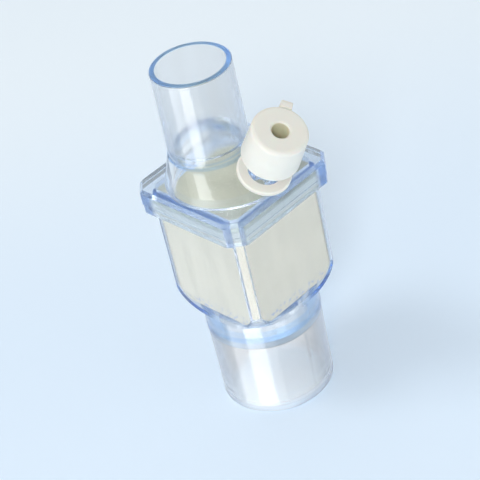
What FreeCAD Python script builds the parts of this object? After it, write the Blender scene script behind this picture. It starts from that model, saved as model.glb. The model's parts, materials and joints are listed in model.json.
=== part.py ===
import FreeCAD, Part
import math
import os

from FreeCAD import Placement, Rotation, Vector

# Heat and moisture exchanger: a clear square chamber that holds a block of
# exchange media, with a 22 mm port below, an offset 15 mm port above and a
# capped sampling port on the lid's slope. Millimetres throughout.
# The origin is on the lower port's axis, in the plane of its open end, with
# +Z up through the chamber. The upper port is offset towards -X and the
# sampling port leans towards +X, so XZ is the plane of symmetry.

# Both breathing ports: radius gained for each millimetre of a 1:40 taper.
PORT_TAPER = 1 / 80

# Lower port, the 22 mm male side.
LOWER_PORT_RADIUS = 11.0
LOWER_PORT_WALL = 1.55
LOWER_PORT_LENGTH = 16.7
LOWER_LAND_LENGTH = 6.0
LOWER_STOP_WIDTH = 1.1
LOWER_TIP_CHAMFER = 0.45

# Thick collar between the lower port and the chamber.
COLLAR_STEP = 0.12
COLLAR_HEIGHT = 5.5

# Chamber: a square with cut corners, turned to a bowl at its lower end. The
# land is the flat floor left between the outlet and the bowl's curve.
BODY_HALF_WIDTH = 11.4
BODY_CORNER = 1.5
BODY_WALL = 0.85
BODY_HEIGHT = 23.3
BODY_EDGE_BLEND = 0.5
BOWL_LAND = 1.15
BOWL_CLEARANCE = 0.2

# Ribs that hold the media up off the outlet.
RIB_COUNT = 8
RIB_THICKNESS = 0.8
RIB_HEIGHT = 1.1

# Weld flange of the housing, and the spigot that the lid fits over.
FLANGE_OVERHANG = 2.05
FLANGE_CORNER = 2.7
FLANGE_THICKNESS = 1.85
FLANGE_INSET = 0.15
SPIGOT_HEIGHT = 1.2
WELD_GAP = 0.05
SPIGOT_CLEARANCE = 0.1

# Exchange media.
MEDIA_CLEARANCE = 0.08
MEDIA_SEAT_GAP = 0.05
MEDIA_TOP_GAP = 0.6

# Lid: flat rim, and an eccentric cone up to the offset port. The blend is
# on the rim's upright edges, and on the weld flange's too.
LID_RIM_HEIGHT = 3.0
LID_EDGE_BLEND = 0.8
LID_EDGE_CHAMFER = 0.6
CONE_MARGIN = 1.1
CONE_HEIGHT = 4.05
CONE_WALL = 1.45
CONE_WALL_RISE = 0.85

# Upper port, the 15 mm male side.
UPPER_PORT_RADIUS = 7.55
UPPER_PORT_WALL = 1.0
UPPER_PORT_LENGTH = 17.6
UPPER_LAND_LENGTH = 6.0
UPPER_STOP_WIDTH = 0.7
UPPER_STOP_HEIGHT = 1.2
UPPER_TIP_CHAMFER = 0.2
NECK_STEP = 0.2

# Sampling port with a female luer bore, on an axis in the XZ plane.
LUER_REACH = 8.5
LUER_TILT = 31.0
LUER_BOSS_RADIUS = 3.9
LUER_BOSS_ROOT = 1.2
LUER_NECK_RADIUS = 2.9
LUER_HEAD_RADIUS = 3.35
LUER_HEAD_LENGTH = 5.0
LUER_LENGTH = 12.2
LUER_LUG_RADIUS = 3.85
LUER_LUG_WIDTH = 2.6
LUER_LUG_THICKNESS = 1.1
LUER_BORE_RADIUS = 2.15
LUER_BORE_DEPTH = 8.0
LUER_BORE_TAPER = 0.03
SAMPLE_HOLE_RADIUS = 1.1
SAMPLE_HOLE_REACH = 2.4

# Ring of the cap's tether, loose round the luer neck. It seats on the boss,
# which lifts its lower side clear of the lid's slope.
RING_CLEARANCE = 0.25
RING_SEAT_GAP = 0.05
RING_SLOPE_GAP = 0.22
RING_WIDTH = 1.9
RING_THICKNESS = 1.0
RING_EDGE_CHAMFER = 0.25

# Cap with a plug that fills the luer bore.
CAP_LIFT = 6.3
CAP_HEIGHT = 8.2
CAP_TOP_RADIUS = 5.15
CAP_FOOT_RADIUS = 5.42
CAP_TOP_ROUND = 0.8
CAP_FOOT_CHAMFER = 0.35
CAP_LUG_CLEARANCE = 0.2
CAP_ROOF_GAP = 0.3
PLUG_CLEARANCE = 0.06
PLUG_SHORTFALL = 0.85
CAP_RECESS_RADIUS = 1.6
CAP_RECESS_DEPTH = 5.0
CAP_RECESS_CHAMFER = 0.3

# Strap from the ring's edge to the cap's top edge, as (radius, height) of
# its corners about the luer axis, and the bend at each corner.
STRAP_AZIMUTH = 122.0
STRAP_WIDTH = 2.15
STRAP_THICKNESS = 0.8
STRAP_TOP_DROP = 0.05
STRAP_TAB_REACH = 1.3
STRAP_BULGE_REACH = 4.0
STRAP_BULGE_HEIGHT = 5.4
STRAP_LOOP_REACH = 2.6
STRAP_TOP_BEND = 0.9
STRAP_BULGE_BEND = 3.0
STRAP_LOOP_BEND = 2.0
STRAP_JOIN_GAP = 0.05

# Overlap that a tool or a joined piece is given past a face it passes, and
# the distance within which two places count as the same.
PAST = 1.0
SAME_PLACE = 1e-4

# Levels that follow from the sizes above.
SHOULDER_Z = LOWER_PORT_LENGTH
BODY_FLOOR_Z = SHOULDER_Z + COLLAR_HEIGHT
FLANGE_LOW_Z = BODY_FLOOR_Z + BODY_HEIGHT
FLANGE_TOP_Z = FLANGE_LOW_Z + FLANGE_THICKNESS
SPIGOT_TOP_Z = FLANGE_TOP_Z + SPIGOT_HEIGHT
MEDIA_LOW_Z = BODY_FLOOR_Z + BODY_WALL + RIB_HEIGHT + MEDIA_SEAT_GAP
MEDIA_TOP_Z = SPIGOT_TOP_Z - MEDIA_TOP_GAP
LID_LOW_Z = FLANGE_TOP_Z + WELD_GAP
LID_ROOF_Z = SPIGOT_TOP_Z + WELD_GAP
PLATE_TOP_Z = LID_LOW_Z + LID_RIM_HEIGHT
NECK_Z = PLATE_TOP_Z + CONE_HEIGHT
UPPER_STOP_Z = NECK_Z + UPPER_STOP_HEIGHT
UPPER_TIP_Z = NECK_Z + UPPER_PORT_LENGTH

# Widths that follow from the sizes above.
FLANGE_HALF_WIDTH = BODY_HALF_WIDTH + FLANGE_OVERHANG
LOWER_BORE_RADIUS = LOWER_PORT_RADIUS - LOWER_PORT_WALL
LOWER_ROOT_RADIUS = LOWER_PORT_RADIUS + (LOWER_PORT_LENGTH - LOWER_LAND_LENGTH) * PORT_TAPER
COLLAR_RADIUS = LOWER_ROOT_RADIUS + COLLAR_STEP
OUTLET_RADIUS = LOWER_BORE_RADIUS - LOWER_STOP_WIDTH
UPPER_ROOT_RADIUS = UPPER_PORT_RADIUS + (UPPER_PORT_LENGTH - UPPER_LAND_LENGTH) * PORT_TAPER
UPPER_BORE_RADIUS = UPPER_PORT_RADIUS - UPPER_PORT_WALL
INLET_RADIUS = UPPER_BORE_RADIUS - UPPER_STOP_WIDTH
NECK_RADIUS = UPPER_ROOT_RADIUS + NECK_STEP
CONE_BASE_RADIUS = FLANGE_HALF_WIDTH - CONE_MARGIN
PORT_OFFSET = CONE_BASE_RADIUS - NECK_RADIUS
RING_OUTER_RADIUS = LUER_NECK_RADIUS + RING_CLEARANCE + RING_WIDTH
CAP_TOP = CAP_LIFT + CAP_HEIGHT

# The luer axis leaves the cone's outer slope at this height.
SLOPE = CONE_HEIGHT / (CONE_BASE_RADIUS + PORT_OFFSET - NECK_RADIUS)
LUER_ROOT_Z = PLATE_TOP_Z + (CONE_BASE_RADIUS - LUER_REACH) * SLOPE

# Heights along the luer axis, from where it leaves the slope.
LEAN_PAST_SLOPE = math.radians(LUER_TILT) - math.atan(SLOPE)
LUER_BOSS_HEIGHT = RING_OUTER_RADIUS * math.tan(LEAN_PAST_SLOPE) + RING_SLOPE_GAP
RING_LOW = LUER_BOSS_HEIGHT + RING_SEAT_GAP


def inset_corner(corner, inset):
    """Corner cut of a square after all its sides move in by the same inset."""
    return corner - inset * (2 - math.sqrt(2))


def half_diagonal(half_width, corner):
    """Distance from the axis to the flat of a cut corner."""
    return (2 * half_width - corner) / math.sqrt(2)


def bowl_reach():
    """Radius of the drum that trims the chamber's cut corners."""
    return half_diagonal(BODY_HALF_WIDTH, BODY_CORNER) + BOWL_CLEARANCE


def square_block(half_width, corner, z_low, z_high, blend=0.0):
    """Upright square block with cut corners, its upright edges blended."""
    near = half_width - corner
    outline = []
    for turn in range(4):
        quarter = Rotation(Vector(0, 0, 1), 90 * turn)
        outline.append(quarter.multVec(Vector(half_width, -near, z_low)))
        outline.append(quarter.multVec(Vector(half_width, near, z_low)))
    outline.append(outline[0])
    block = Part.Face(Part.makePolygon(outline)).extrude(Vector(0, 0, z_high - z_low))
    if blend > 0:
        upright = [e for e in block.Edges if e.BoundBox.ZLength > z_high - z_low - SAME_PLACE]
        block = block.makeFillet(blend, upright)
    return block


def turned(profile):
    """Solid of revolution about Z from (radius, height) corners."""
    points = [Vector(r, 0, z) for r, z in profile]
    face = Part.Face(Part.makePolygon(points + [points[0]]))
    return face.revolve(Vector(0, 0, 0), Vector(0, 0, 1), 360)


def cylinder(radius, z_low, z_high):
    """Upright cylinder between two heights."""
    return Part.makeCylinder(radius, z_high - z_low, Vector(0, 0, z_low))


def bowl(radius, rounding, z_floor, z_top):
    """Upright drum whose lower edge is rounded to a bowl."""
    floor_edge = Vector(radius - rounding, 0, z_floor)
    wall_foot = Vector(radius, 0, z_floor + rounding)
    slant = rounding * math.sqrt(0.5)
    middle = Vector(radius - rounding + slant, 0, z_floor + rounding - slant)
    edges = [
        Part.makeLine(Vector(0, 0, z_floor), floor_edge),
        Part.Arc(floor_edge, middle, wall_foot).toShape(),
        Part.makeLine(wall_foot, Vector(radius, 0, z_top)),
        Part.makeLine(Vector(radius, 0, z_top), Vector(0, 0, z_top)),
        Part.makeLine(Vector(0, 0, z_top), Vector(0, 0, z_floor)),
    ]
    return Part.Face(Part.Wire(edges)).revolve(Vector(0, 0, 0), Vector(0, 0, 1), 360)


def oblique_cone(base_radius, base_z, top_radius, top_z, offset):
    """Cone from a circle on the axis to a smaller one offset towards -X."""
    base = Part.Wire(Part.Circle(Vector(0, 0, base_z), Vector(0, 0, 1), base_radius).toShape())
    top = Part.Wire(Part.Circle(Vector(-offset, 0, top_z), Vector(0, 0, 1), top_radius).toShape())
    return Part.makeLoft([base, top], True, True)


def circle_edges(shape, radius, z):
    """Level circular edges of one radius at one height."""
    found = []
    for edge in shape.Edges:
        curve = edge.Curve
        if not isinstance(curve, Part.Circle) or abs(curve.Radius - radius) > SAME_PLACE:
            continue
        if (curve.Center - Vector(0, 0, z)).Length < SAME_PLACE:
            found.append(edge)
    return found


def on_luer_axis(shape):
    """Place a shape that was built about Z on the leaning luer axis."""
    leaning = Placement(Vector(LUER_REACH, 0, LUER_ROOT_Z), Rotation(Vector(0, 1, 0), LUER_TILT))
    placed = shape.copy()
    placed.Placement = leaning.multiply(shape.Placement)
    return placed


def chamber(inset, z_floor, z_top):
    """Chamber form moved in from the outside by an inset, from its floor up."""
    corner = inset_corner(BODY_CORNER, inset)
    blend = max(BODY_EDGE_BLEND - inset, 0)
    block = square_block(BODY_HALF_WIDTH - inset, corner, z_floor, z_top, blend)
    rounding = bowl_reach() - OUTLET_RADIUS - BOWL_LAND
    return block.common(bowl(bowl_reach() - inset, rounding - inset, z_floor, z_top + PAST))


def lower_port():
    """Lower port and collar as one turned tube with a stop inside."""
    tube = turned([
        (LOWER_BORE_RADIUS, 0),
        (LOWER_PORT_RADIUS, 0),
        (LOWER_PORT_RADIUS, LOWER_LAND_LENGTH),
        (LOWER_ROOT_RADIUS, SHOULDER_Z),
        (COLLAR_RADIUS, SHOULDER_Z),
        (COLLAR_RADIUS, BODY_FLOOR_Z + BODY_WALL),
        (OUTLET_RADIUS, BODY_FLOOR_Z + BODY_WALL),
        (OUTLET_RADIUS, SHOULDER_Z),
        (LOWER_BORE_RADIUS, SHOULDER_Z - LOWER_STOP_WIDTH),
    ])
    return tube.makeChamfer(LOWER_TIP_CHAMFER, circle_edges(tube, LOWER_PORT_RADIUS, 0))


def media_ribs():
    """Radial ribs on the bowl's floor, trimmed to the chamber's inside."""
    floor_z = BODY_FLOOR_Z + BODY_WALL
    start = OUTLET_RADIUS - PAST
    rib = Part.makeBox(
        half_diagonal(BODY_HALF_WIDTH, BODY_CORNER) - start,
        RIB_THICKNESS,
        RIB_HEIGHT + BODY_WALL / 2,
        Vector(start, -RIB_THICKNESS / 2, floor_z - BODY_WALL / 2),
    )
    ribs = []
    for index in range(RIB_COUNT):
        turned_rib = rib.copy()
        turned_rib.rotate(Vector(0, 0, 0), Vector(0, 0, 1), 360 * index / RIB_COUNT)
        ribs.append(turned_rib)
    limit = chamber(BODY_WALL / 2, BODY_FLOOR_Z + BODY_WALL / 2, FLANGE_LOW_Z)
    return [piece.common(limit) for piece in ribs]


def lower_housing():
    """Chamber, collar, lower port, weld flange and spigot in one moulding."""
    shell = chamber(0, BODY_FLOOR_Z, SPIGOT_TOP_Z)
    flange = square_block(
        FLANGE_HALF_WIDTH - FLANGE_INSET,
        inset_corner(FLANGE_CORNER, FLANGE_INSET),
        FLANGE_LOW_Z,
        FLANGE_TOP_Z,
        LID_EDGE_BLEND,
    )
    inside = chamber(BODY_WALL, BODY_FLOOR_Z + BODY_WALL, SPIGOT_TOP_Z + PAST)
    outlet = cylinder(OUTLET_RADIUS, SHOULDER_Z, MEDIA_LOW_Z + PAST)
    solid = shell.fuse([flange, lower_port()]).cut(inside)
    return solid.fuse(media_ribs()).cut(outlet).removeSplitter()


def exchange_media():
    """Block of media that fills the chamber down to the ribs."""
    inset = BODY_WALL + MEDIA_CLEARANCE
    form = chamber(inset, BODY_FLOOR_Z + inset, MEDIA_TOP_Z)
    keep = cylinder(2 * BODY_HALF_WIDTH, MEDIA_LOW_Z, MEDIA_TOP_Z)
    return form.common(keep)


def lid_rim():
    """Rim and plate of the lid, with its top edge chamfered."""
    rim = square_block(FLANGE_HALF_WIDTH, FLANGE_CORNER, LID_LOW_Z, PLATE_TOP_Z, LID_EDGE_BLEND)
    top_edges = [e for e in rim.Edges if e.BoundBox.ZMin > PLATE_TOP_Z - SAME_PLACE]
    return rim.makeChamfer(LID_EDGE_CHAMFER, top_edges)


def upper_port():
    """Offset upper port as a turned tube, from the neck to its open end."""
    tube = turned([
        (UPPER_BORE_RADIUS, UPPER_TIP_Z),
        (UPPER_PORT_RADIUS, UPPER_TIP_Z),
        (UPPER_PORT_RADIUS, UPPER_TIP_Z - UPPER_LAND_LENGTH),
        (UPPER_ROOT_RADIUS, NECK_Z),
        (UPPER_ROOT_RADIUS, NECK_Z - PAST),
        (INLET_RADIUS, NECK_Z - PAST),
        (INLET_RADIUS, UPPER_STOP_Z),
        (UPPER_BORE_RADIUS, UPPER_STOP_Z + UPPER_STOP_WIDTH),
    ])
    tube = tube.makeChamfer(UPPER_TIP_CHAMFER, circle_edges(tube, UPPER_PORT_RADIUS, UPPER_TIP_Z))
    tube.translate(Vector(-PORT_OFFSET, 0, 0))
    return tube


def luer_port():
    """Boss, neck and lugged head of the sampling port, built about Z."""
    boss = cylinder(LUER_BOSS_RADIUS, -LUER_BOSS_ROOT, LUER_BOSS_HEIGHT)
    neck = cylinder(LUER_NECK_RADIUS, -LUER_BOSS_ROOT, LUER_LENGTH)
    head = cylinder(LUER_HEAD_RADIUS, LUER_LENGTH - LUER_HEAD_LENGTH, LUER_LENGTH)
    lug_low = LUER_LENGTH - LUER_LUG_THICKNESS
    lug_bar = Part.makeBox(
        LUER_LUG_WIDTH,
        2 * LUER_LUG_RADIUS,
        LUER_LUG_THICKNESS,
        Vector(-LUER_LUG_WIDTH / 2, -LUER_LUG_RADIUS, lug_low),
    )
    lugs = lug_bar.common(cylinder(LUER_LUG_RADIUS, lug_low, LUER_LENGTH))
    return boss.fuse([neck, head, lugs])


def luer_passage():
    """Tapered luer bore and the sample hole below it, built about Z."""
    floor = LUER_LENGTH - LUER_BORE_DEPTH
    bore = turned([
        (0, floor),
        (LUER_BORE_RADIUS - LUER_BORE_DEPTH * LUER_BORE_TAPER, floor),
        (LUER_BORE_RADIUS + PAST * LUER_BORE_TAPER, LUER_LENGTH + PAST),
        (0, LUER_LENGTH + PAST),
    ])
    hole = cylinder(SAMPLE_HOLE_RADIUS, -LUER_BOSS_ROOT - SAMPLE_HOLE_REACH, floor + PAST)
    return bore.fuse(hole)


def lid():
    """Rim, eccentric cone, upper port and sampling port in one moulding."""
    cone = oblique_cone(CONE_BASE_RADIUS, PLATE_TOP_Z, NECK_RADIUS, NECK_Z, PORT_OFFSET)
    hollow_top_z = NECK_Z - CONE_WALL_RISE
    hollow_base_z = PLATE_TOP_Z - CONE_WALL_RISE
    hollow_radius = CONE_BASE_RADIUS - CONE_WALL
    hollow = oblique_cone(
        hollow_radius, hollow_base_z, NECK_RADIUS - CONE_WALL, hollow_top_z, PORT_OFFSET
    )
    mouth = cylinder(hollow_radius, LID_LOW_Z, hollow_base_z)
    inlet = cylinder(INLET_RADIUS, hollow_top_z - PAST, UPPER_STOP_Z)
    inlet.translate(Vector(-PORT_OFFSET, 0, 0))
    seat = square_block(
        BODY_HALF_WIDTH + SPIGOT_CLEARANCE,
        inset_corner(BODY_CORNER, -SPIGOT_CLEARANCE),
        LID_LOW_Z - PAST,
        LID_ROOF_Z,
    )
    solid = lid_rim().fuse([cone, upper_port(), on_luer_axis(luer_port())])
    solid = solid.cut([hollow, mouth, inlet, seat, on_luer_axis(luer_passage())])
    return solid.removeSplitter()


def ring_form(grow=0.0):
    """Washer of the tether about Z, grown outwards where it trims the strap."""
    outer = cylinder(RING_OUTER_RADIUS + grow, RING_LOW, RING_LOW + RING_THICKNESS)
    return outer.cut(cylinder(LUER_NECK_RADIUS + RING_CLEARANCE, RING_LOW, RING_LOW + RING_THICKNESS))


def tether_ring():
    """Washer of the tether with both outer edges chamfered."""
    ring = ring_form()
    edges = []
    for level in (RING_LOW, RING_LOW + RING_THICKNESS):
        edges += circle_edges(ring, RING_OUTER_RADIUS, level)
    return on_luer_axis(ring.makeChamfer(RING_EDGE_CHAMFER, edges))


def cap_form(grow=0.0):
    """Outside of the cap about Z, grown where it trims the strap."""
    form = turned([
        (0, CAP_LIFT - grow),
        (CAP_FOOT_RADIUS + grow, CAP_LIFT - grow),
        (CAP_TOP_RADIUS + grow, CAP_TOP + grow),
        (0, CAP_TOP + grow),
    ])
    top_edge = circle_edges(form, CAP_TOP_RADIUS + grow, CAP_TOP + grow)
    return form.makeFillet(CAP_TOP_ROUND + grow, top_edge)


def luer_cap():
    """Cap with a skirt over the luer head, a plug in its bore and a recess on top."""
    cap = cap_form()
    cap = cap.makeChamfer(CAP_FOOT_CHAMFER, circle_edges(cap, CAP_FOOT_RADIUS, CAP_LIFT))
    roof = LUER_LENGTH + CAP_ROOF_GAP
    plug_tip = CAP_LIFT + PLUG_SHORTFALL
    plug_top_radius = LUER_BORE_RADIUS - PLUG_CLEARANCE + CAP_ROOF_GAP * LUER_BORE_TAPER
    plug_tip_radius = plug_top_radius - (roof - plug_tip) * LUER_BORE_TAPER
    plug = turned([
        (0, plug_tip),
        (plug_tip_radius, plug_tip),
        (plug_top_radius, roof),
        (0, roof),
    ])
    cavity = cylinder(LUER_LUG_RADIUS + CAP_LUG_CLEARANCE, CAP_LIFT - PAST, roof).cut(plug)
    cap = cap.cut([cavity, cylinder(CAP_RECESS_RADIUS, CAP_TOP - CAP_RECESS_DEPTH, CAP_TOP + PAST)])
    cap = cap.makeChamfer(CAP_RECESS_CHAMFER, circle_edges(cap, CAP_RECESS_RADIUS, CAP_TOP))
    return on_luer_axis(cap)


def bent_path(corners, bends):
    """Wire of straight runs in the XZ plane, with an arc at each inner corner."""
    points = [Vector(r, 0, z) for r, z in corners]
    edges = []
    start = points[0]
    for index, bend in enumerate(bends, 1):
        corner = points[index]
        back = (points[index - 1] - corner).normalize()
        ahead = (points[index + 1] - corner).normalize()
        half_angle = back.getAngle(ahead) / 2
        entry = corner + back * (bend / math.tan(half_angle))
        leave = corner + ahead * (bend / math.tan(half_angle))
        inward = (back + ahead).normalize()
        middle = corner + inward * (bend / math.sin(half_angle) - bend)
        edges.append(Part.makeLine(start, entry))
        edges.append(Part.Arc(entry, middle, leave).toShape())
        start = leave
    edges.append(Part.makeLine(start, points[-1]))
    return Part.Wire(edges)


def cap_strap():
    """Flat strap from the ring's edge out, up and in to the cap's top edge."""
    top_z = CAP_TOP - STRAP_TOP_DROP - STRAP_THICKNESS / 2
    ring_z = RING_LOW + RING_THICKNESS / 2
    corners = [
        (CAP_TOP_RADIUS - STRAP_THICKNESS, top_z),
        (CAP_TOP_RADIUS + STRAP_TAB_REACH, top_z),
        (CAP_TOP_RADIUS + STRAP_BULGE_REACH, STRAP_BULGE_HEIGHT),
        (RING_OUTER_RADIUS + STRAP_LOOP_REACH, ring_z),
        (RING_OUTER_RADIUS - STRAP_THICKNESS, ring_z),
    ]
    path = bent_path(corners, (STRAP_TOP_BEND, STRAP_BULGE_BEND, STRAP_LOOP_BEND))
    half_width = STRAP_WIDTH / 2
    half_thick = STRAP_THICKNESS / 2
    start_x = corners[0][0]
    section = Part.makePolygon([
        Vector(start_x, -half_width, top_z - half_thick),
        Vector(start_x, half_width, top_z - half_thick),
        Vector(start_x, half_width, top_z + half_thick),
        Vector(start_x, -half_width, top_z + half_thick),
        Vector(start_x, -half_width, top_z - half_thick),
    ])
    strap = path.makePipeShell([section], True, False)
    strap = strap.cut([cap_form(STRAP_JOIN_GAP), ring_form(STRAP_JOIN_GAP)])
    strap.rotate(Vector(0, 0, 0), Vector(0, 0, 1), STRAP_AZIMUTH)
    return on_luer_axis(strap)


SUBPARTS = {
    "lower_housing": lower_housing,
    "exchange_media": exchange_media,
    "lid": lid,
    "tether_ring": tether_ring,
    "cap_strap": cap_strap,
    "luer_cap": luer_cap,
}

os.makedirs("parts", exist_ok=True)
for node, build in SUBPARTS.items():
    build().exportStep(os.path.join("parts", node + ".step"))
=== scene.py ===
import json
import logging
import math
from collections.abc import Callable
from dataclasses import asdict, dataclass
from enum import Enum

import bmesh
import bpy
from mathutils import Matrix, Vector, noise


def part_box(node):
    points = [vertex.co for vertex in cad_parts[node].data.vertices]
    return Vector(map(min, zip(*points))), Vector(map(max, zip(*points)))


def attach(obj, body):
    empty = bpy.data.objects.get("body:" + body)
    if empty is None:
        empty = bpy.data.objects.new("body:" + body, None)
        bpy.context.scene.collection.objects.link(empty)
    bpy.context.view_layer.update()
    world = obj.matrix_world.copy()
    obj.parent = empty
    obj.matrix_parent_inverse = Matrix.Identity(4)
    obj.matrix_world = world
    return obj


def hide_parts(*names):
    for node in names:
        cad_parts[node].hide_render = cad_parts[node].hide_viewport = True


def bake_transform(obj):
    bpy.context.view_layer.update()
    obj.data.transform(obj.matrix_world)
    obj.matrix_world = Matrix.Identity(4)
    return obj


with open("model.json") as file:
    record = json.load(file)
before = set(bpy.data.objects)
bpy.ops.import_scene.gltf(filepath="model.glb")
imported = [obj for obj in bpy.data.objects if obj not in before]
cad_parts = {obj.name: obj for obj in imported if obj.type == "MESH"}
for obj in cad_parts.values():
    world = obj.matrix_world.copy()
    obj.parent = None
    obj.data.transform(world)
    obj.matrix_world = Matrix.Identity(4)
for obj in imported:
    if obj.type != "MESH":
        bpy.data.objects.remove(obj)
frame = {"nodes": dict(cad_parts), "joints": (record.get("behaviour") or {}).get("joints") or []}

# A heat and moisture exchanger of clear moulded plastic, with a cream block
# of exchange media inside and a white cap on its sampling port. The clear
# mouldings, the cap and the tether's ring keep their own solids. The media
# and the cap's bent strap are meshes of their own. Lengths are in metres and
# angles in degrees.

LOG = logging.getLogger("exchanger")
MM = 0.001
BEYOND = 1.0
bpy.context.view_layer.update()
CLEAR_BOUNCES = 32
GLOSSY_BOUNCES = 24

Colour = tuple[float, float, float]
Point = tuple[float, float, float]


class Body(str, Enum):
    """The bodies that the pieces ride on."""

    HOUSING = "housing"
    TETHER = "tether"
    CAP = "cap"


class Slot(str, Enum):
    """The record's material slots."""

    CLEAR_HOUSING = "clear_housing"
    CLEAR_LID = "clear_lid"
    MEDIA = "media"
    WHITE_CAP = "white_cap"


@dataclass(frozen=True)
class Streaks:
    """Settings of the Mould Flow group: repeats a metre, and their share along Z."""

    scale: float
    stretch: float


@dataclass(frozen=True)
class Grain:
    """Settings of the Speckle group: repeats a metre, and where the mask starts and is full."""

    scale: float
    low: float
    high: float


@dataclass(frozen=True)
class Level:
    """Settings of the Level Band group: two heights, and the margin it fades over."""

    low: float
    high: float
    soft: float = 0.3 * MM


@dataclass(frozen=True)
class Loop:
    """Settings of the Square Loop group.

    The loop lies between the heights low and high, and between the inner and
    outer distances from the middle planes. The cuts are limits of the sum of
    both distances, as a corner at 45 degrees has them. BEYOND lies past every
    point of the object.
    """

    low: float = 0.0
    high: float = BEYOND
    inner: float = BEYOND
    outer: float = BEYOND
    inner_cut: float = BEYOND
    outer_cut: float = BEYOND


class Graph:
    """A node tree with short ways to add, set and join its nodes."""

    MIX_FACTOR, MIX_FIRST, MIX_SECOND, MIX_RESULT = 0, 6, 7, 2

    def __init__(self, tree: bpy.types.NodeTree) -> None:
        """Starts from an empty tree."""
        self.tree = tree
        self.tree.nodes.clear()

    def add(self, kind: str, **settings: object) -> bpy.types.Node:
        """Adds a node and sets its properties.

        Args:
            kind: the node's class name without the ShaderNode prefix.
            settings: properties of the node, by name.

        Returns:
            The new node.
        """
        prefix = "" if kind.startswith("NodeGroup") else "ShaderNode"
        node = self.tree.nodes.new(prefix + kind)
        for name, value in settings.items():
            setattr(node, name, value)
        return node

    def group(self, tree: bpy.types.NodeTree, settings: Streaks | Grain | Level | Loop) -> bpy.types.Node:
        """Places a node group and sets its inputs.

        Args:
            tree: the group.
            settings: the group's own settings, named as its inputs are.

        Returns:
            The group's node.
        """
        node = self.add("Group", node_tree=tree)
        for name, value in asdict(settings).items():
            node.inputs[name.replace("_", " ").title()].default_value = value
        return node

    def join(self, source: bpy.types.NodeSocket, target: bpy.types.NodeSocket) -> None:
        """Links an output to an input."""
        self.tree.links.new(source, target)

    def feed(self, value: object, target: bpy.types.NodeSocket) -> None:
        """Gives an input its value.

        Args:
            value: a socket to link, or a plain value to set.
            target: the input.
        """
        if isinstance(value, bpy.types.NodeSocket):
            self.join(value, target)
        else:
            target.default_value = value

    def math(self, operation: str, first: object, second: object) -> bpy.types.NodeSocket:
        """Works out one sum of two values.

        Args:
            operation: the Math node's operation.
            first: a socket or a number.
            second: a socket or a number.

        Returns:
            The result's socket.
        """
        node = self.add("Math", operation=operation)
        self.feed(first, node.inputs[0])
        self.feed(second, node.inputs[1])
        return node.outputs[0]

    def ramp(self, value: object, low: object, high: object,
             to_low: object = 0.0, to_high: object = 1.0) -> bpy.types.NodeSocket:
        """Maps a value smoothly from one range to another, clamped.

        Args:
            value: the socket to map.
            low: start of the range it comes from.
            high: end of the range it comes from.
            to_low: what low becomes.
            to_high: what high becomes.

        Returns:
            The mapped value.
        """
        node = self.add("MapRange", interpolation_type="SMOOTHSTEP")
        for index, item in enumerate((value, low, high, to_low, to_high)):
            self.feed(item, node.inputs[index])
        return node.outputs[0]

    def blend(self, mask: object, first: object, second: object) -> bpy.types.NodeSocket:
        """Blends two colours by a mask.

        Args:
            mask: 0 for the first colour, 1 for the second.
            first: a colour or a socket.
            second: a colour or a socket.

        Returns:
            The blended colour.
        """
        node = self.add("Mix", data_type="RGBA")
        self.feed(mask, node.inputs[self.MIX_FACTOR])
        self.feed(first, node.inputs[self.MIX_FIRST])
        self.feed(second, node.inputs[self.MIX_SECOND])
        return node.outputs[self.MIX_RESULT]

    def vector(self, operation: str, first: bpy.types.NodeSocket, second: object = None) -> bpy.types.Node:
        """Works out one sum of vectors.

        Args:
            operation: the Vector Math node's operation.
            first: a socket.
            second: a socket or a vector, where the operation takes two.

        Returns:
            The node, whose output is a vector or a value.
        """
        node = self.add("VectorMath", operation=operation)
        self.join(first, node.inputs[0])
        if second is not None:
            self.feed(second, node.inputs[1])
        return node

    def split(self, vector: bpy.types.NodeSocket) -> tuple[bpy.types.NodeSocket, ...]:
        """Takes a vector apart.

        Args:
            vector: the vector's socket.

        Returns:
            The sockets of its X, Y and Z.
        """
        node = self.add("SeparateXYZ")
        self.join(vector, node.inputs[0])
        return tuple(node.outputs)

    def place(self) -> bpy.types.NodeSocket:
        """Position on the piece, in metres."""
        return self.add("TexCoord").outputs["Object"]

    def noise(self, place: bpy.types.NodeSocket, scale: bpy.types.NodeSocket,
              detail: float) -> bpy.types.NodeSocket:
        """Adds a noise and gives its value.

        Args:
            place: where on the piece it is read.
            scale: its repeats a metre.
            detail: how many finer layers it has.

        Returns:
            The noise's value.
        """
        node = self.add("TexNoise")
        self.join(place, node.inputs["Vector"])
        self.join(scale, node.inputs["Scale"])
        node.inputs["Detail"].default_value = detail
        return node.outputs[0]

    def bump(self, height: bpy.types.NodeSocket, strength: float, depth: float) -> bpy.types.NodeSocket:
        """A normal that a height bends.

        Args:
            height: the socket that holds the height.
            strength: share of the bump that is used.
            depth: height of a full bump.

        Returns:
            The normal's socket.
        """
        node = self.add("Bump")
        node.inputs["Strength"].default_value = strength
        node.inputs["Distance"].default_value = depth
        self.join(height, node.inputs["Height"])
        return node.outputs[0]


def rgba(colour: Colour) -> tuple[float, float, float, float]:
    """A colour with full alpha."""
    return (*colour, 1.0)


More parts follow.
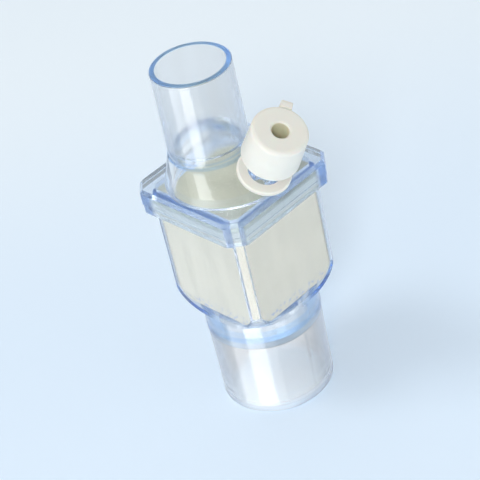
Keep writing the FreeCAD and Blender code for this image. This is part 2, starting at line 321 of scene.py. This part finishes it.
class Effects:
    """Shader node groups that several finishes share, built once each."""

    MASK_AND_HEIGHT = {"Mask": "NodeSocketFloat", "Height": "NodeSocketFloat"}
    STREAK_DETAIL = 3.0
    STREAK_EDGES = (0.35, 0.65)
    GRAIN_DETAIL = 4.0

    def __init__(self) -> None:
        """Builds the groups."""
        self.flow = self._group("Mould Flow", ("Scale", "Stretch"), self._fill_flow)
        self.speckle = self._group("Speckle", ("Scale", "Low", "High"), self._fill_speckle)
        self.level = self._group("Level Band", ("Low", "High", "Soft"), self._fill_level)
        limits = ("Low", "High", "Inner", "Outer", "Inner Cut", "Outer Cut")
        self.loop = self._group("Square Loop", limits, self._fill_loop)

    def _group(self, name: str, inputs: tuple[str, ...], fill: Callable) -> bpy.types.NodeTree:
        """Makes one node group with number inputs, a mask and a height.

        Args:
            name: the group's name.
            inputs: the inputs' names.
            fill: the method that adds the group's nodes.

        Returns:
            The node group.
        """
        tree = bpy.data.node_groups.new(name, "ShaderNodeTree")
        for label in inputs:
            tree.interface.new_socket(label, in_out="INPUT", socket_type="NodeSocketFloat")
        for label, kind in self.MASK_AND_HEIGHT.items():
            tree.interface.new_socket(label, in_out="OUTPUT", socket_type=kind)
        graph = Graph(tree)
        mask, height = fill(graph, graph.add("NodeGroupInput").outputs)
        out = graph.add("NodeGroupOutput")
        graph.join(mask, out.inputs["Mask"])
        graph.join(height, out.inputs["Height"])
        return tree

    def _fill_flow(self, graph: Graph, given: bpy.types.NodeOutputs) -> tuple[bpy.types.NodeSocket, ...]:
        """Soft streaks drawn out along Z, as plastic leaves where it flowed in.

        Args:
            graph: the group's graph.
            given: the group's inputs.

        Returns:
            The mask and the height.
        """
        squeeze = graph.add("CombineXYZ")
        squeeze.inputs["X"].default_value = 1.0
        squeeze.inputs["Y"].default_value = 1.0
        graph.join(given["Stretch"], squeeze.inputs["Z"])
        drawn = graph.vector("MULTIPLY", graph.place(), squeeze.outputs[0])
        streaks = graph.noise(drawn.outputs[0], given["Scale"], self.STREAK_DETAIL)
        return graph.ramp(streaks, *self.STREAK_EDGES), streaks

    def _fill_speckle(self, graph: Graph, given: bpy.types.NodeOutputs) -> tuple[bpy.types.NodeSocket, ...]:
        """Fine irregular grain, as pores or a matt tool surface show it.

        Args:
            graph: the group's graph.
            given: the group's inputs.

        Returns:
            The mask and the height.
        """
        grain = graph.noise(graph.place(), given["Scale"], self.GRAIN_DETAIL)
        return graph.ramp(grain, given["Low"], given["High"]), grain

    @staticmethod
    def _fill_level(graph: Graph, given: bpy.types.NodeOutputs) -> tuple[bpy.types.NodeSocket, ...]:
        """A level band between two heights, faded out over a soft margin.

        Args:
            graph: the group's graph.
            given: the group's inputs.

        Returns:
            The mask and the height on the piece.
        """
        height = graph.split(graph.place())[2]
        low, high, soft = (given[label] for label in ("Low", "High", "Soft"))
        above = graph.ramp(height, graph.math("SUBTRACT", low, soft), low)
        below = graph.ramp(height, high, graph.math("ADD", high, soft), 1.0, 0.0)
        return graph.math("MULTIPLY", above, below), height

    @staticmethod
    def _fill_loop(graph: Graph, given: bpy.types.NodeOutputs) -> tuple[bpy.types.NodeSocket, ...]:
        """A square loop with cut corners, between two heights.

        Args:
            graph: the group's graph.
            given: the group's inputs.

        Returns:
            The mask and the height on the piece.
        """
        distances = graph.vector("ABSOLUTE", graph.place())
        across, along, height = graph.split(distances.outputs[0])
        widest = graph.math("MAXIMUM", across, along)
        total = graph.math("ADD", across, along)
        mask = graph.math(
            "MAXIMUM",
            graph.math("GREATER_THAN", widest, given["Inner"]),
            graph.math("GREATER_THAN", total, given["Inner Cut"]),
        )
        for operation, value, limit in (
            ("LESS_THAN", widest, "Outer"),
            ("LESS_THAN", total, "Outer Cut"),
            ("GREATER_THAN", height, "Low"),
            ("LESS_THAN", height, "High"),
        ):
            mask = graph.math("MULTIPLY", mask, graph.math(operation, value, given[limit]))
        return mask, height


def new_graph(name: str) -> tuple[bpy.types.Material, Graph]:
    """Starts a material.

    Args:
        name: the material's name.

    Returns:
        The material and its empty graph.
    """
    material = bpy.data.materials.new(name)
    material.use_nodes = True
    return material, Graph(material.node_tree)


@dataclass(frozen=True)
class Haze:
    """A level band of a clear moulding that its tool has left matt or tinted."""

    band: Level
    roughness: float
    tint: Colour


@dataclass(frozen=True)
class ClearPlastic:
    """Clear moulded plastic with a blue cast that gathers in thick sections.

    The cast's density is per metre. The weld is where two mouldings have
    melted into one, so that it shows no surface of its own.
    """

    name: str
    weld: Loop
    hazes: tuple[Haze, ...]
    cast_density: float
    smooth: float
    rough: float
    clear: Colour = (0.96, 0.95, 0.94)
    streak: Colour = (0.94, 0.93, 0.92)
    cast: Colour = (0.15, 0.52, 0.95)
    ior: float = 1.5
    lamp_share: Colour = (0.92, 0.92, 0.91)
    streaks: Streaks = Streaks(260.0, 0.25)
    ripple: float = 0.02
    ripple_depth: float = MM

    def build(self, effects: Effects) -> bpy.types.Material:
        """Builds the material.

        Args:
            effects: the shared node groups.

        Returns:
            The material.
        """
        material, graph = new_graph(self.name)
        flow = graph.group(effects.flow, self.streaks)
        colour = graph.blend(flow.outputs["Mask"], rgba(self.clear), rgba(self.streak))
        roughness = graph.ramp(flow.outputs["Mask"], 0.0, 1.0, self.smooth, self.rough)
        for haze in self.hazes:
            inside = graph.group(effects.level, haze.band).outputs["Mask"]
            colour = graph.blend(inside, colour, rgba(haze.tint))
            roughness = graph.ramp(inside, 0.0, 1.0, roughness, haze.roughness)
        shader = graph.add("BsdfPrincipled")
        graph.join(colour, shader.inputs["Base Color"])
        graph.join(roughness, shader.inputs["Roughness"])
        melted = graph.group(effects.loop, self.weld).outputs["Mask"]
        graph.join(graph.math("SUBTRACT", 1.0, melted), shader.inputs["Alpha"])
        shader.inputs["Transmission Weight"].default_value = 1.0
        shader.inputs["IOR"].default_value = self.ior
        ripples = graph.bump(flow.outputs["Height"], self.ripple, self.ripple_depth)
        graph.join(ripples, shader.inputs["Normal"])
        out = graph.add("OutputMaterial")
        graph.join(self._open_to_lamps(graph, shader), out.inputs["Surface"])
        absorbed = graph.add("VolumeAbsorption")
        absorbed.inputs["Color"].default_value = rgba(self.cast)
        absorbed.inputs["Density"].default_value = self.cast_density
        graph.join(absorbed.outputs[0], out.inputs["Volume"])
        return material

    def _open_to_lamps(self, graph: Graph, shader: bpy.types.Node) -> bpy.types.NodeSocket:
        """Lets the lamps' light straight through, as the walls would cast hard shadows.

        Args:
            graph: the material's graph.
            shader: the plastic's own shader.

        Returns:
            The shader that the surface takes.
        """
        clear = graph.add("BsdfTransparent")
        clear.inputs[0].default_value = rgba(self.lamp_share)
        either = graph.add("MixShader")
        graph.join(graph.add("LightPath").outputs["Is Shadow Ray"], either.inputs[0])
        graph.join(shader.outputs[0], either.inputs[1])
        graph.join(clear.outputs[0], either.inputs[2])
        return either.outputs[0]


@dataclass(frozen=True)
class PortAxis:
    """The sampling port's axis, which the tether's ring turns about."""

    seat: Vector
    along: Vector

    @classmethod
    def from_frame(cls) -> "PortAxis":
        """Reads the axis and the ring's seat on it from the tether's joint."""
        joint = next(joint for joint in frame["joints"] if joint["child"] == Body.TETHER.value)
        return cls(Vector(joint["pos_m"]), Vector(joint["axis"]).normalized())


@dataclass(frozen=True)
class SatinPlastic:
    """White moulded plastic with a satin skin, with painted shade: a yellower, darker recess in its end and
    a greyer end face.
    """

    name: str
    base: Colour = (0.825, 0.81, 0.735)
    cloud: Colour = (0.805, 0.79, 0.715)
    # Painted shade: the recess is coloured a darker yellow-tan, standing in for the shade and cream bounce
    # light inside it.
    recess: Colour = (0.70, 0.68, 0.51)
    recess_radius: float = 1.62 * MM
    # Painted shade: the end face is coloured greyer, because less light falls on it than on the sides.
    end: Colour = (0.715, 0.71, 0.645)
    end_depth: float = 0.7 * MM
    rough_low: float = 0.42
    rough_high: float = 0.55
    streaks: Streaks = Streaks(300.0, 0.6)
    texture: Grain = Grain(6000.0, 0.4, 0.6)
    texture_share: float = 0.05
    texture_depth: float = 0.1 * MM
    soak: float = 0.15
    soak_depth: float = MM

    def build(self, effects: Effects, port: PortAxis, top: float) -> bpy.types.Material:
        """Builds the material.

        Args:
            effects: the shared node groups.
            port: the axis that the recess lies on.
            top: height of the end face along the axis, from the ring's seat.

        Returns:
            The material.
        """
        material, graph = new_graph(self.name)
        flow = graph.group(effects.flow, self.streaks)
        grain = graph.group(effects.speckle, self.texture)
        shader = graph.add("BsdfPrincipled")
        arm = graph.vector("SUBTRACT", graph.place(), port.seat)
        turned = graph.vector("CROSS_PRODUCT", arm.outputs[0], port.along)
        distance = graph.vector("LENGTH", turned.outputs[0])
        in_recess = graph.math("LESS_THAN", distance.outputs["Value"], self.recess_radius)
        height = graph.vector("DOT_PRODUCT", arm.outputs[0], port.along)
        end_shade_mask = graph.ramp(height.outputs["Value"], top - self.end_depth, top)
        colour = graph.blend(flow.outputs["Mask"], rgba(self.base), rgba(self.cloud))
        # Painted shade on the end face.
        colour = graph.blend(end_shade_mask, colour, rgba(self.end))
        # Painted shade in the recess.
        colour = graph.blend(in_recess, colour, rgba(self.recess))
        graph.join(colour, shader.inputs["Base Color"])
        roughness = graph.ramp(grain.outputs["Mask"], 0.0, 1.0, self.rough_low, self.rough_high)
        graph.join(roughness, shader.inputs["Roughness"])
        shader.inputs["Subsurface Weight"].default_value = self.soak
        shader.inputs["Subsurface Scale"].default_value = self.soak_depth
        skin = graph.bump(grain.outputs["Height"], self.texture_share, self.texture_depth)
        graph.join(skin, shader.inputs["Normal"])
        graph.join(shader.outputs[0], graph.add("OutputMaterial").inputs["Surface"])
        return material


@dataclass(frozen=True)
class PorousMedia:
    """Matt cream media with fine pores, soft cloudy tone and bluish marks at its foot, and painted shade on
    its top and its cut corners.
    """

    name: str
    base: Colour = (0.83, 0.805, 0.69)
    shade: Colour = (0.80, 0.78, 0.665)
    clouds: Grain = Grain(220.0, 0.35, 0.7)
    pore: Colour = (0.73, 0.71, 0.62)
    pores: Grain = Grain(2600.0, 0.58, 0.74)
    # Painted shade: the top of the block is coloured darker, standing in for the shade that the lid's cone
    # gives it.
    crown: Colour = (0.50, 0.51, 0.41)
    crown_band: Level = Level(47.5 * MM, 49.5 * MM)
    # Painted shade: the cut corner faces are coloured darker, because they face the key lamp more fully
    # than the sides do.
    bevel: Colour = (0.68, 0.655, 0.56)
    mark: Colour = (0.50, 0.56, 0.72)
    marks: Grain = Grain(1900.0, 0.57, 0.6)
    mark_band: Level = Level(0.0, 25.5 * MM, 1.5 * MM)
    rough_low: float = 0.9
    rough_high: float = 1.0
    pitting: float = 0.5
    pit_depth: float = 0.1 * MM

    def build(self, effects: Effects, corner: float) -> bpy.types.Material:
        """Builds the material.

        Args:
            effects: the shared node groups.
            corner: the sum of a point's distances from both middle planes on the cut corners.

        Returns:
            The material.
        """
        material, graph = new_graph(self.name)
        cloud = graph.group(effects.speckle, self.clouds)
        pores = graph.group(effects.speckle, self.pores)
        marks = graph.group(effects.speckle, self.marks)
        foot = graph.group(effects.level, self.mark_band)
        top = graph.group(effects.level, self.crown_band)
        shader = graph.add("BsdfPrincipled")
        cut = graph.group(effects.loop, Loop(inner_cut=corner))
        body = graph.blend(cloud.outputs["Mask"], rgba(self.base), rgba(self.shade))
        # Painted shade on the cut corners.
        body = graph.blend(cut.outputs["Mask"], body, rgba(self.bevel))
        # Painted shade on the top of the block.
        body = graph.blend(top.outputs["Mask"], body, rgba(self.crown))
        body = graph.blend(pores.outputs["Mask"], body, rgba(self.pore))
        marked = graph.math("MULTIPLY", marks.outputs["Mask"], foot.outputs["Mask"])
        graph.join(graph.blend(marked, body, rgba(self.mark)), shader.inputs["Base Color"])
        roughness = graph.ramp(cloud.outputs["Mask"], 0.0, 1.0, self.rough_low, self.rough_high)
        graph.join(roughness, shader.inputs["Roughness"])
        pits = graph.bump(pores.outputs["Height"], self.pitting, self.pit_depth)
        graph.join(pits, shader.inputs["Normal"])
        graph.join(shader.outputs[0], graph.add("OutputMaterial").inputs["Surface"])
        return material


def dress(piece: bpy.types.Object, material: bpy.types.Material) -> None:
    """Gives every material slot of a piece the same material.

    Args:
        piece: the piece.
        material: its material.
    """
    if not piece.material_slots:
        piece.data.materials.append(material)
    for slot in piece.material_slots:
        slot.material = material


def new_piece(name: str, mesh: bpy.types.Mesh) -> bpy.types.Object:
    """Puts a mesh into the scene.

    Args:
        name: the piece's name.
        mesh: its mesh.

    Returns:
        The piece.
    """
    piece = bpy.data.objects.new(name, mesh)
    bpy.context.scene.collection.objects.link(piece)
    return piece


@dataclass
class ClearMouldings:
    """The lower housing and the lid, which keep their own solids."""

    port_haze: Haze = Haze(Level(1.3 * MM, 16.4 * MM), 0.21, (1.0, 0.91, 0.83))
    mouth_line: Haze = Haze(Level(1.5 * MM, 1.8 * MM, 0.1 * MM), 0.3, (0.88, 0.80, 0.75))
    mouth_haze: Haze = Haze(Level(-MM, 1.4 * MM, 0.05 * MM), 0.4, (1.0, 0.97, 0.93))
    collar_haze: Haze = Haze(Level(16.8 * MM, 19.2 * MM), 0.2, (0.55, 0.74, 0.96))
    flange_haze: Haze = Haze(Level(45.6 * MM, 50.35 * MM, 0.1 * MM), 0.26, (0.88, 0.93, 1.0))
    cone_gloss: Haze = Haze(Level(50.45 * MM, 54.2 * MM, 0.1 * MM), 0.05, (0.96, 0.955, 0.945))
    neck_haze: Haze = Haze(Level(54.35 * MM, 54.75 * MM, 0.1 * MM), 0.18, (0.50, 0.68, 0.95))
    end_depth: float = 0.1 * MM
    end_soft: float = 0.02 * MM
    end_roughness: float = 0.3
    end_tint: Colour = (0.33, 0.61, 0.92)
    weld_margin: float = 0.1 * MM
    weld_skin: float = 0.2 * MM
    weld_inner_cut: float = 20.25 * MM
    weld_outer_cut: float = 23.9 * MM
    housing_density: float = 45.0
    housing_roughness: tuple[float, float] = (0.13, 0.18)
    lid_density: float = 28.0
    lid_roughness: tuple[float, float] = (0.14, 0.2)

    def build(self, effects: Effects) -> list[bpy.types.Object]:
        """Dresses both mouldings.

        Args:
            effects: the shared node groups.

        Returns:
            The two pieces.
        """
        weld = self._weld()
        below = ClearPlastic(
            "Clear Housing Plastic",
            weld,
            (self.port_haze, self.mouth_line, self.mouth_haze, self.collar_haze, self.flange_haze),
            self.housing_density,
            *self.housing_roughness,
        )
        above = ClearPlastic(
            "Clear Lid Plastic",
            weld,
            (self.flange_haze, self.cone_gloss, self.neck_haze, self._end_haze()),
            self.lid_density,
            *self.lid_roughness,
        )
        pieces = []
        for node, finish, slot in (
            ("lower_housing", below, Slot.CLEAR_HOUSING),
            ("lid", above, Slot.CLEAR_LID),
        ):
            piece = frame["nodes"][node]
            dress(piece, finish.build(effects))
            pieces.append(piece)
        return pieces

    def _weld(self) -> Loop:
        """Where the lid's rim and the housing's flange have melted into one.

        Returns:
            The weld, just inside the outer faces of both mouldings.
        """
        rim_low, rim_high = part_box("lid")
        return Loop(
            low=rim_low.z - self.weld_margin,
            high=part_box("lower_housing")[1].z + self.weld_margin,
            inner=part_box("exchange_media")[1].y + self.weld_skin,
            outer=rim_high.y - self.weld_skin,
            inner_cut=self.weld_inner_cut,
            outer_cut=self.weld_outer_cut,
        )

    def _end_haze(self) -> Haze:
        """The deep blue ring that the upper port's end shows."""
        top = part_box("lid")[1].z
        return Haze(Level(top - self.end_depth, top + MM, self.end_soft), self.end_roughness, self.end_tint)


@dataclass
class MediaBlock:
    """The block of exchange media, with slightly uneven porous faces."""

    finish: PorousMedia = PorousMedia("Cream Media")
    voxel: float = 0.3 * MM
    unevenness: float = 0.06 * MM
    wave: float = 400.0

    def build(self, effects: Effects) -> list[bpy.types.Object]:
        """Builds the block from its solid's own form.

        Args:
            effects: the shared node groups.

        Returns:
            The piece.
        """
        piece = new_piece("media_block", frame["nodes"]["exchange_media"].data.copy())
        remesh = piece.modifiers.new("Even", "REMESH")
        remesh.mode = "VOXEL"
        remesh.voxel_size = self.voxel
        graph = bpy.context.evaluated_depsgraph_get()
        even = bpy.data.meshes.new_from_object(piece.evaluated_get(graph))
        piece.modifiers.clear()
        piece.data = even
        self._settle(even)
        even.polygons.foreach_set("use_smooth", [True] * len(even.polygons))
        corner = max(abs(vertex.co.x) + abs(vertex.co.y) for vertex in even.vertices)
        dress(piece, self.finish.build(effects, corner - self.voxel))
        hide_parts("exchange_media")
        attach(piece, Body.HOUSING.value)
        return [piece]

    def _settle(self, mesh: bpy.types.Mesh) -> None:
        """Draws the faces in a little, unevenly, so that they stay in their solid.

        Args:
            mesh: the block's mesh, changed in place.
        """
        normals = [vertex.normal.copy() for vertex in mesh.vertices]
        for vertex, normal in zip(mesh.vertices, normals):
            share = 0.5 + 0.5 * noise.noise(vertex.co * self.wave)
            vertex.co -= normal * self.unevenness * share


@dataclass
class BentStrap:
    """The strap's flat path about the sampling port's axis, and its section.

    Levels are heights along the axis from the path's root. Reaches are
    measured outwards from the ring's or the cap's edge.
    """

    port: PortAxis
    azimuth: float = 122.0
    width: float = 2.15 * MM
    thickness: float = 0.8 * MM
    corner: float = 0.22 * MM
    ring_level: float = 1.35 * MM
    ring_radius: float = 5.05 * MM
    top_level: float = 14.05 * MM
    cap_radius: float = 5.15 * MM
    tab_reach: float = 1.3 * MM
    bulge_reach: float = 4.0 * MM
    bulge_level: float = 5.4 * MM
    loop_reach: float = 2.6 * MM
    bends: tuple[float, ...] = (0.9 * MM, 3.0 * MM, 2.0 * MM)
    sink: float = 0.03 * MM
    arc_steps: int = 12
    run_steps: int = 6
    corner_steps: int = 4

    def build(self) -> bpy.types.Object:
        """Sweeps the section along the path and bends it between its bodies.

        Returns:
            The strap, without a material.
        """
        strap = new_piece("cap_tether_strap", self._sweep())
        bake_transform(strap)
        return strap

    def _root(self) -> Vector:
        """Where heights along the port's axis start."""
        return self.port.seat - self.port.along * self.ring_level

    def _ways(self) -> tuple[Vector, Vector]:
        """The way out from the axis to the strap, and the way across the strap.

        Returns:
            The two unit vectors.
        """
        side = Vector((0, 1, 0))
        level = side.cross(self.port.along)
        turn = math.radians(self.azimuth)
        outward = level * math.cos(turn) + side * math.sin(turn)
        across = side * math.cos(turn) - level * math.sin(turn)
        return outward, across

    def _corners(self) -> list[Vector]:
        """The path's corners, as (radius, height) about the port's axis."""
        return [
            Vector((self.ring_radius - self.sink, self.ring_level)),
            Vector((self.ring_radius + self.loop_reach, self.ring_level)),
            Vector((self.cap_radius + self.bulge_reach, self.bulge_level)),
            Vector((self.cap_radius + self.tab_reach, self.top_level)),
            Vector((self.cap_radius - self.sink, self.top_level)),
        ]

    def _path(self) -> list[Vector]:
        """Rounds the path's corners.

        Returns:
            Points along the straight runs and the arcs between them.
        """
        corners = self._corners()
        points = [corners[0]]
        for index, bend in enumerate(reversed(self.bends), 1):
            corner = corners[index]
            back = (corners[index - 1] - corner).normalized()
            ahead = (corners[index + 1] - corner).normalized()
            half = back.angle(ahead) / 2
            centre = corner + (back + ahead).normalized() * (bend / math.sin(half))
            entry = corner + back * (bend / math.tan(half))
            leave = corner + ahead * (bend / math.tan(half))
            self._run(points, entry)
            sweep = (entry - centre).angle_signed(leave - centre)
            for step in range(1, self.arc_steps + 1):
                arm = (entry - centre).copy()
                arm.rotate(Matrix.Rotation(-sweep * step / self.arc_steps, 2))
                points.append(centre + arm)
        self._run(points, corners[-1])
        return points

    def _run(self, points: list[Vector], end: Vector) -> None:
        """Adds a straight run from the last point.

        Args:
            points: the path so far, added to in place.
            end: where the run ends.
        """
        start = points[-1].copy()
        for step in range(1, self.run_steps + 1):
            points.append(start.lerp(end, step / self.run_steps))

    def _section(self) -> list[tuple[float, float]]:
        """Draws the strap's section with rounded corners.

        Returns:
            Its points, as (across, out) from its middle.
        """
        half_width = self.width / 2 - self.corner
        half_thick = self.thickness / 2 - self.corner
        outline = []
        for quarter, (sign_x, sign_y) in enumerate(((1, 1), (-1, 1), (-1, -1), (1, -1))):
            for step in range(self.corner_steps + 1):
                angle = math.pi / 2 * (quarter + step / self.corner_steps)
                outline.append((
                    sign_x * half_width + self.corner * math.cos(angle),
                    sign_y * half_thick + self.corner * math.sin(angle),
                ))
        return outline

    def _rings(self) -> list[list[Vector]]:
        """Lays the section round each point of the path.

        Both ends are hollowed to the round edge that they meet.

        Returns:
            The section's points, ring by ring.
        """
        path = self._path()
        outline = self._section()
        last = len(path) - 1
        root = self._root()
        outward, sideways = self._ways()
        rings = []
        for index, point in enumerate(path):
            along = (path[min(index + 1, last)] - path[max(index - 1, 0)]).normalized()
            normal = Vector((-along.y, along.x))
            ring = []
            for across, out in outline:
                radius, height = point + normal * out
                if index in (0, last):
                    radius = math.sqrt(radius * radius - across * across)
                ring.append(root + outward * radius + self.port.along * height + sideways * across)
            rings.append(ring)
        return rings

    def _sweep(self) -> bpy.types.Mesh:
        """Skins the rings.

        Returns:
            The strap's closed mesh.
        """
        build = bmesh.new()
        rings = [[build.verts.new(place) for place in ring] for ring in self._rings()]
        for ring, following in zip(rings, rings[1:]):
            for index in range(len(ring)):
                after = (index + 1) % len(ring)
                build.faces.new((ring[index], ring[after], following[after], following[index]))
        for face in build.faces:
            face.smooth = True
        build.faces.new(reversed(rings[0]))
        build.faces.new(rings[-1])
        bmesh.ops.recalc_face_normals(build, faces=build.faces)
        mesh = bpy.data.meshes.new("cap_tether_strap")
        build.to_mesh(mesh)
        build.free()
        return mesh


@dataclass
class SamplingCap:
    """The white cap, its ring and the bent strap that joins them."""

    finish: SatinPlastic = SatinPlastic("Satin White Plastic")

    def build(self, effects: Effects) -> list[bpy.types.Object]:
        """Dresses the cap and the ring, and builds the strap.

        Args:
            effects: the shared node groups.

        Returns:
            The pieces.
        """
        port = PortAxis.from_frame()
        strap = BentStrap(port).build()
        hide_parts("cap_strap")
        cap = frame["nodes"]["luer_cap"]
        top = max((vertex.co - port.seat).dot(port.along) for vertex in cap.data.vertices)
        material = self.finish.build(effects, port, top)
        pieces = [cap, frame["nodes"]["tether_ring"], strap]
        for piece in pieces:
            dress(piece, material)
        return pieces


def bearing(azimuth: float, elevation: float) -> Vector:
    """Unit vector towards a bearing.

    Args:
        azimuth: 0 at -Y and 90 at +X.
        elevation: angle above the floor.

    Returns:
        The vector, from the object outwards.
    """
    turn = math.radians(azimuth)
    rise = math.radians(elevation)
    level = math.cos(rise)
    return Vector((math.sin(turn) * level, -math.cos(turn) * level, math.sin(rise)))


@dataclass
class PhotoCamera:
    """The camera at the photograph's angle, found from the ports' ellipses."""

    azimuth: float = 51.858
    elevation: float = 36.259
    lean: float = 13.371
    distance: float = 335.852 * MM
    lens: float = 134.674
    sensor: float = 36.0
    nearest: float = 10 * MM
    aim: Point = (-0.271 * MM, -1.489 * MM, 35.036 * MM)

    def build(self) -> None:
        """Makes the camera and sets it as the scene's."""
        back = bearing(self.azimuth, self.elevation)
        level = Vector((0, 0, 1)).cross(back).normalized()
        upward = back.cross(level)
        lean = math.radians(self.lean)
        side = level * math.cos(lean) - upward * math.sin(lean)
        top = upward * math.cos(lean) + level * math.sin(lean)
        data = bpy.data.cameras.new("Photo Camera")
        data.lens = self.lens
        data.sensor_width = self.sensor
        data.clip_start = self.nearest
        camera = bpy.data.objects.new("Photo Camera", data)
        camera.matrix_world = Matrix((side, top, back)).transposed().to_4x4()
        camera.location = Vector(self.aim) + back * self.distance
        bpy.context.scene.collection.objects.link(camera)
        bpy.context.scene.camera = camera


class Seen(Enum):
    """What a lamp lights."""

    GLOSS_ONLY = "gloss only"
    NO_GLOSS = "no gloss"


@dataclass(frozen=True)
class SoftLamp:
    """A square lamp that faces the object, with its power in watts."""

    name: str
    azimuth: float
    elevation: float
    width: float
    power: float
    seen: Seen
    reach: float = 0.6
    aim_height: float = 36 * MM

    def build(self) -> None:
        """Adds the lamp to the scene."""
        light = bpy.data.lights.new(self.name, "AREA")
        light.shape = "SQUARE"
        light.size = self.width
        light.energy = self.power
        lamp = bpy.data.objects.new(self.name, light)
        bpy.context.scene.collection.objects.link(lamp)
        towards = bearing(self.azimuth, self.elevation)
        lamp.location = Vector((0, 0, self.aim_height)) + towards * self.reach
        lamp.rotation_mode = "QUATERNION"
        lamp.rotation_quaternion = towards.to_track_quat("Z", "Y")
        lamp.visible_diffuse = self.seen is not Seen.GLOSS_ONLY
        lamp.visible_glossy = self.seen is not Seen.NO_GLOSS


@dataclass
class Studio:
    """A plain pale floor under soft lamps.

    The lamps below the floor light only gloss: the upright walls mirror them
    towards the camera as bright bands.
    """

    floor_half: float = 3.0
    floor_roughness: float = 0.9
    floor_sheen: float = 0.1
    near_colour: Colour = (0.745, 0.872, 1.0)
    far_colour: Colour = (0.845, 0.935, 1.0)
    near_reach: float = 0.02
    far_reach: float = 0.15
    under_sky: Colour = (0.80, 0.87, 0.94)
    low_sky: Colour = (1.0, 1.0, 1.0)
    high_sky: Colour = (0.39, 0.395, 0.405)
    horizon_depth: float = 0.1
    lamps: tuple[SoftLamp, ...] = (
        SoftLamp("Key", 44.0, 34.0, 0.4, 11.2, Seen.NO_GLOSS, 1.6),
        SoftLamp("Left", -35.0, 60.0, 0.5, 5.0, Seen.NO_GLOSS, 1.6),
        SoftLamp("Top", -29.0, 61.0, 0.3, 0.22, Seen.GLOSS_ONLY),
        SoftLamp("Low", 20.0, -36.0, 0.28, 2.2, Seen.GLOSS_ONLY),
        SoftLamp("Low Wide", 3.0, -36.0, 0.58, 3.8, Seen.GLOSS_ONLY),
        SoftLamp("Streak", 48.0, -36.0, 0.17, 0.34, Seen.GLOSS_ONLY),
    )

    def build(self, camera: PhotoCamera) -> None:
        """Builds the floor, the world and the lamps.

        Args:
            camera: the camera that the floor pales away from.
        """
        self._floor(camera)
        self._world()
        for lamp in self.lamps:
            lamp.build()

    def _floor(self, camera: PhotoCamera) -> None:
        """Lays a level sheet whose colour pales away from the camera.

        Args:
            camera: the camera.
        """
        mesh = bpy.data.meshes.new("floor")
        build = bmesh.new()
        bmesh.ops.create_grid(build, x_segments=1, y_segments=1, size=self.floor_half)
        build.to_mesh(mesh)
        build.free()
        floor = new_piece("floor", mesh)
        material, graph = new_graph("Pale Floor")
        azimuth = math.radians(camera.azimuth)
        away = (-math.sin(azimuth), math.cos(azimuth), 0.0)
        along = graph.vector("DOT_PRODUCT", graph.place(), away)
        share = graph.ramp(along.outputs["Value"], self.near_reach, self.far_reach)
        shader = graph.add("BsdfPrincipled")
        colour = graph.blend(share, rgba(self.near_colour), rgba(self.far_colour))
        graph.join(colour, shader.inputs["Base Color"])
        shader.inputs["Roughness"].default_value = self.floor_roughness
        shader.inputs["Specular IOR Level"].default_value = self.floor_sheen
        graph.join(shader.outputs[0], graph.add("OutputMaterial").inputs["Surface"])
        dress(floor, material)
        floor.visible_glossy = False

    def _world(self) -> None:
        """A pale sky, brighter all round than overhead, and the floor's blue below."""
        world = bpy.data.worlds.new("Pale Sky")
        world.use_nodes = True
        graph = Graph(world.node_tree)
        height = graph.split(graph.add("TexCoord").outputs["Generated"])[2]
        sky = graph.add("Background")
        above = graph.blend(graph.ramp(height, 0.0, 1.0), rgba(self.low_sky), rgba(self.high_sky))
        risen = graph.ramp(height, -self.horizon_depth, 0.0)
        graph.join(graph.blend(risen, rgba(self.under_sky), above), sky.inputs["Color"])
        graph.join(sky.outputs[0], graph.add("OutputWorld").inputs["Surface"])
        bpy.context.scene.world = world


def set_light_paths(scene: bpy.types.Scene) -> None:
    """Lets light pass through all the clear walls.

    Args:
        scene: the scene.
    """
    scene.cycles.max_bounces = CLEAR_BOUNCES
    scene.cycles.glossy_bounces = GLOSSY_BOUNCES
    scene.cycles.transmission_bounces = CLEAR_BOUNCES
    scene.cycles.transparent_max_bounces = CLEAR_BOUNCES


def main() -> None:
    """Builds the object and its studio."""
    logging.basicConfig(level=logging.INFO, format="%(name)s: %(message)s")
    scene = bpy.context.scene
    scene.view_settings.view_transform = "Standard"
    set_light_paths(scene)
    effects = Effects()
    for part in (ClearMouldings(), MediaBlock(), SamplingCap()):
        for piece in part.build(effects):
            LOG.info("%s: %d faces", piece.name, len(piece.data.polygons))
    camera = PhotoCamera()
    camera.build()
    Studio().build(camera)


if __name__ == "__main__":
    main()
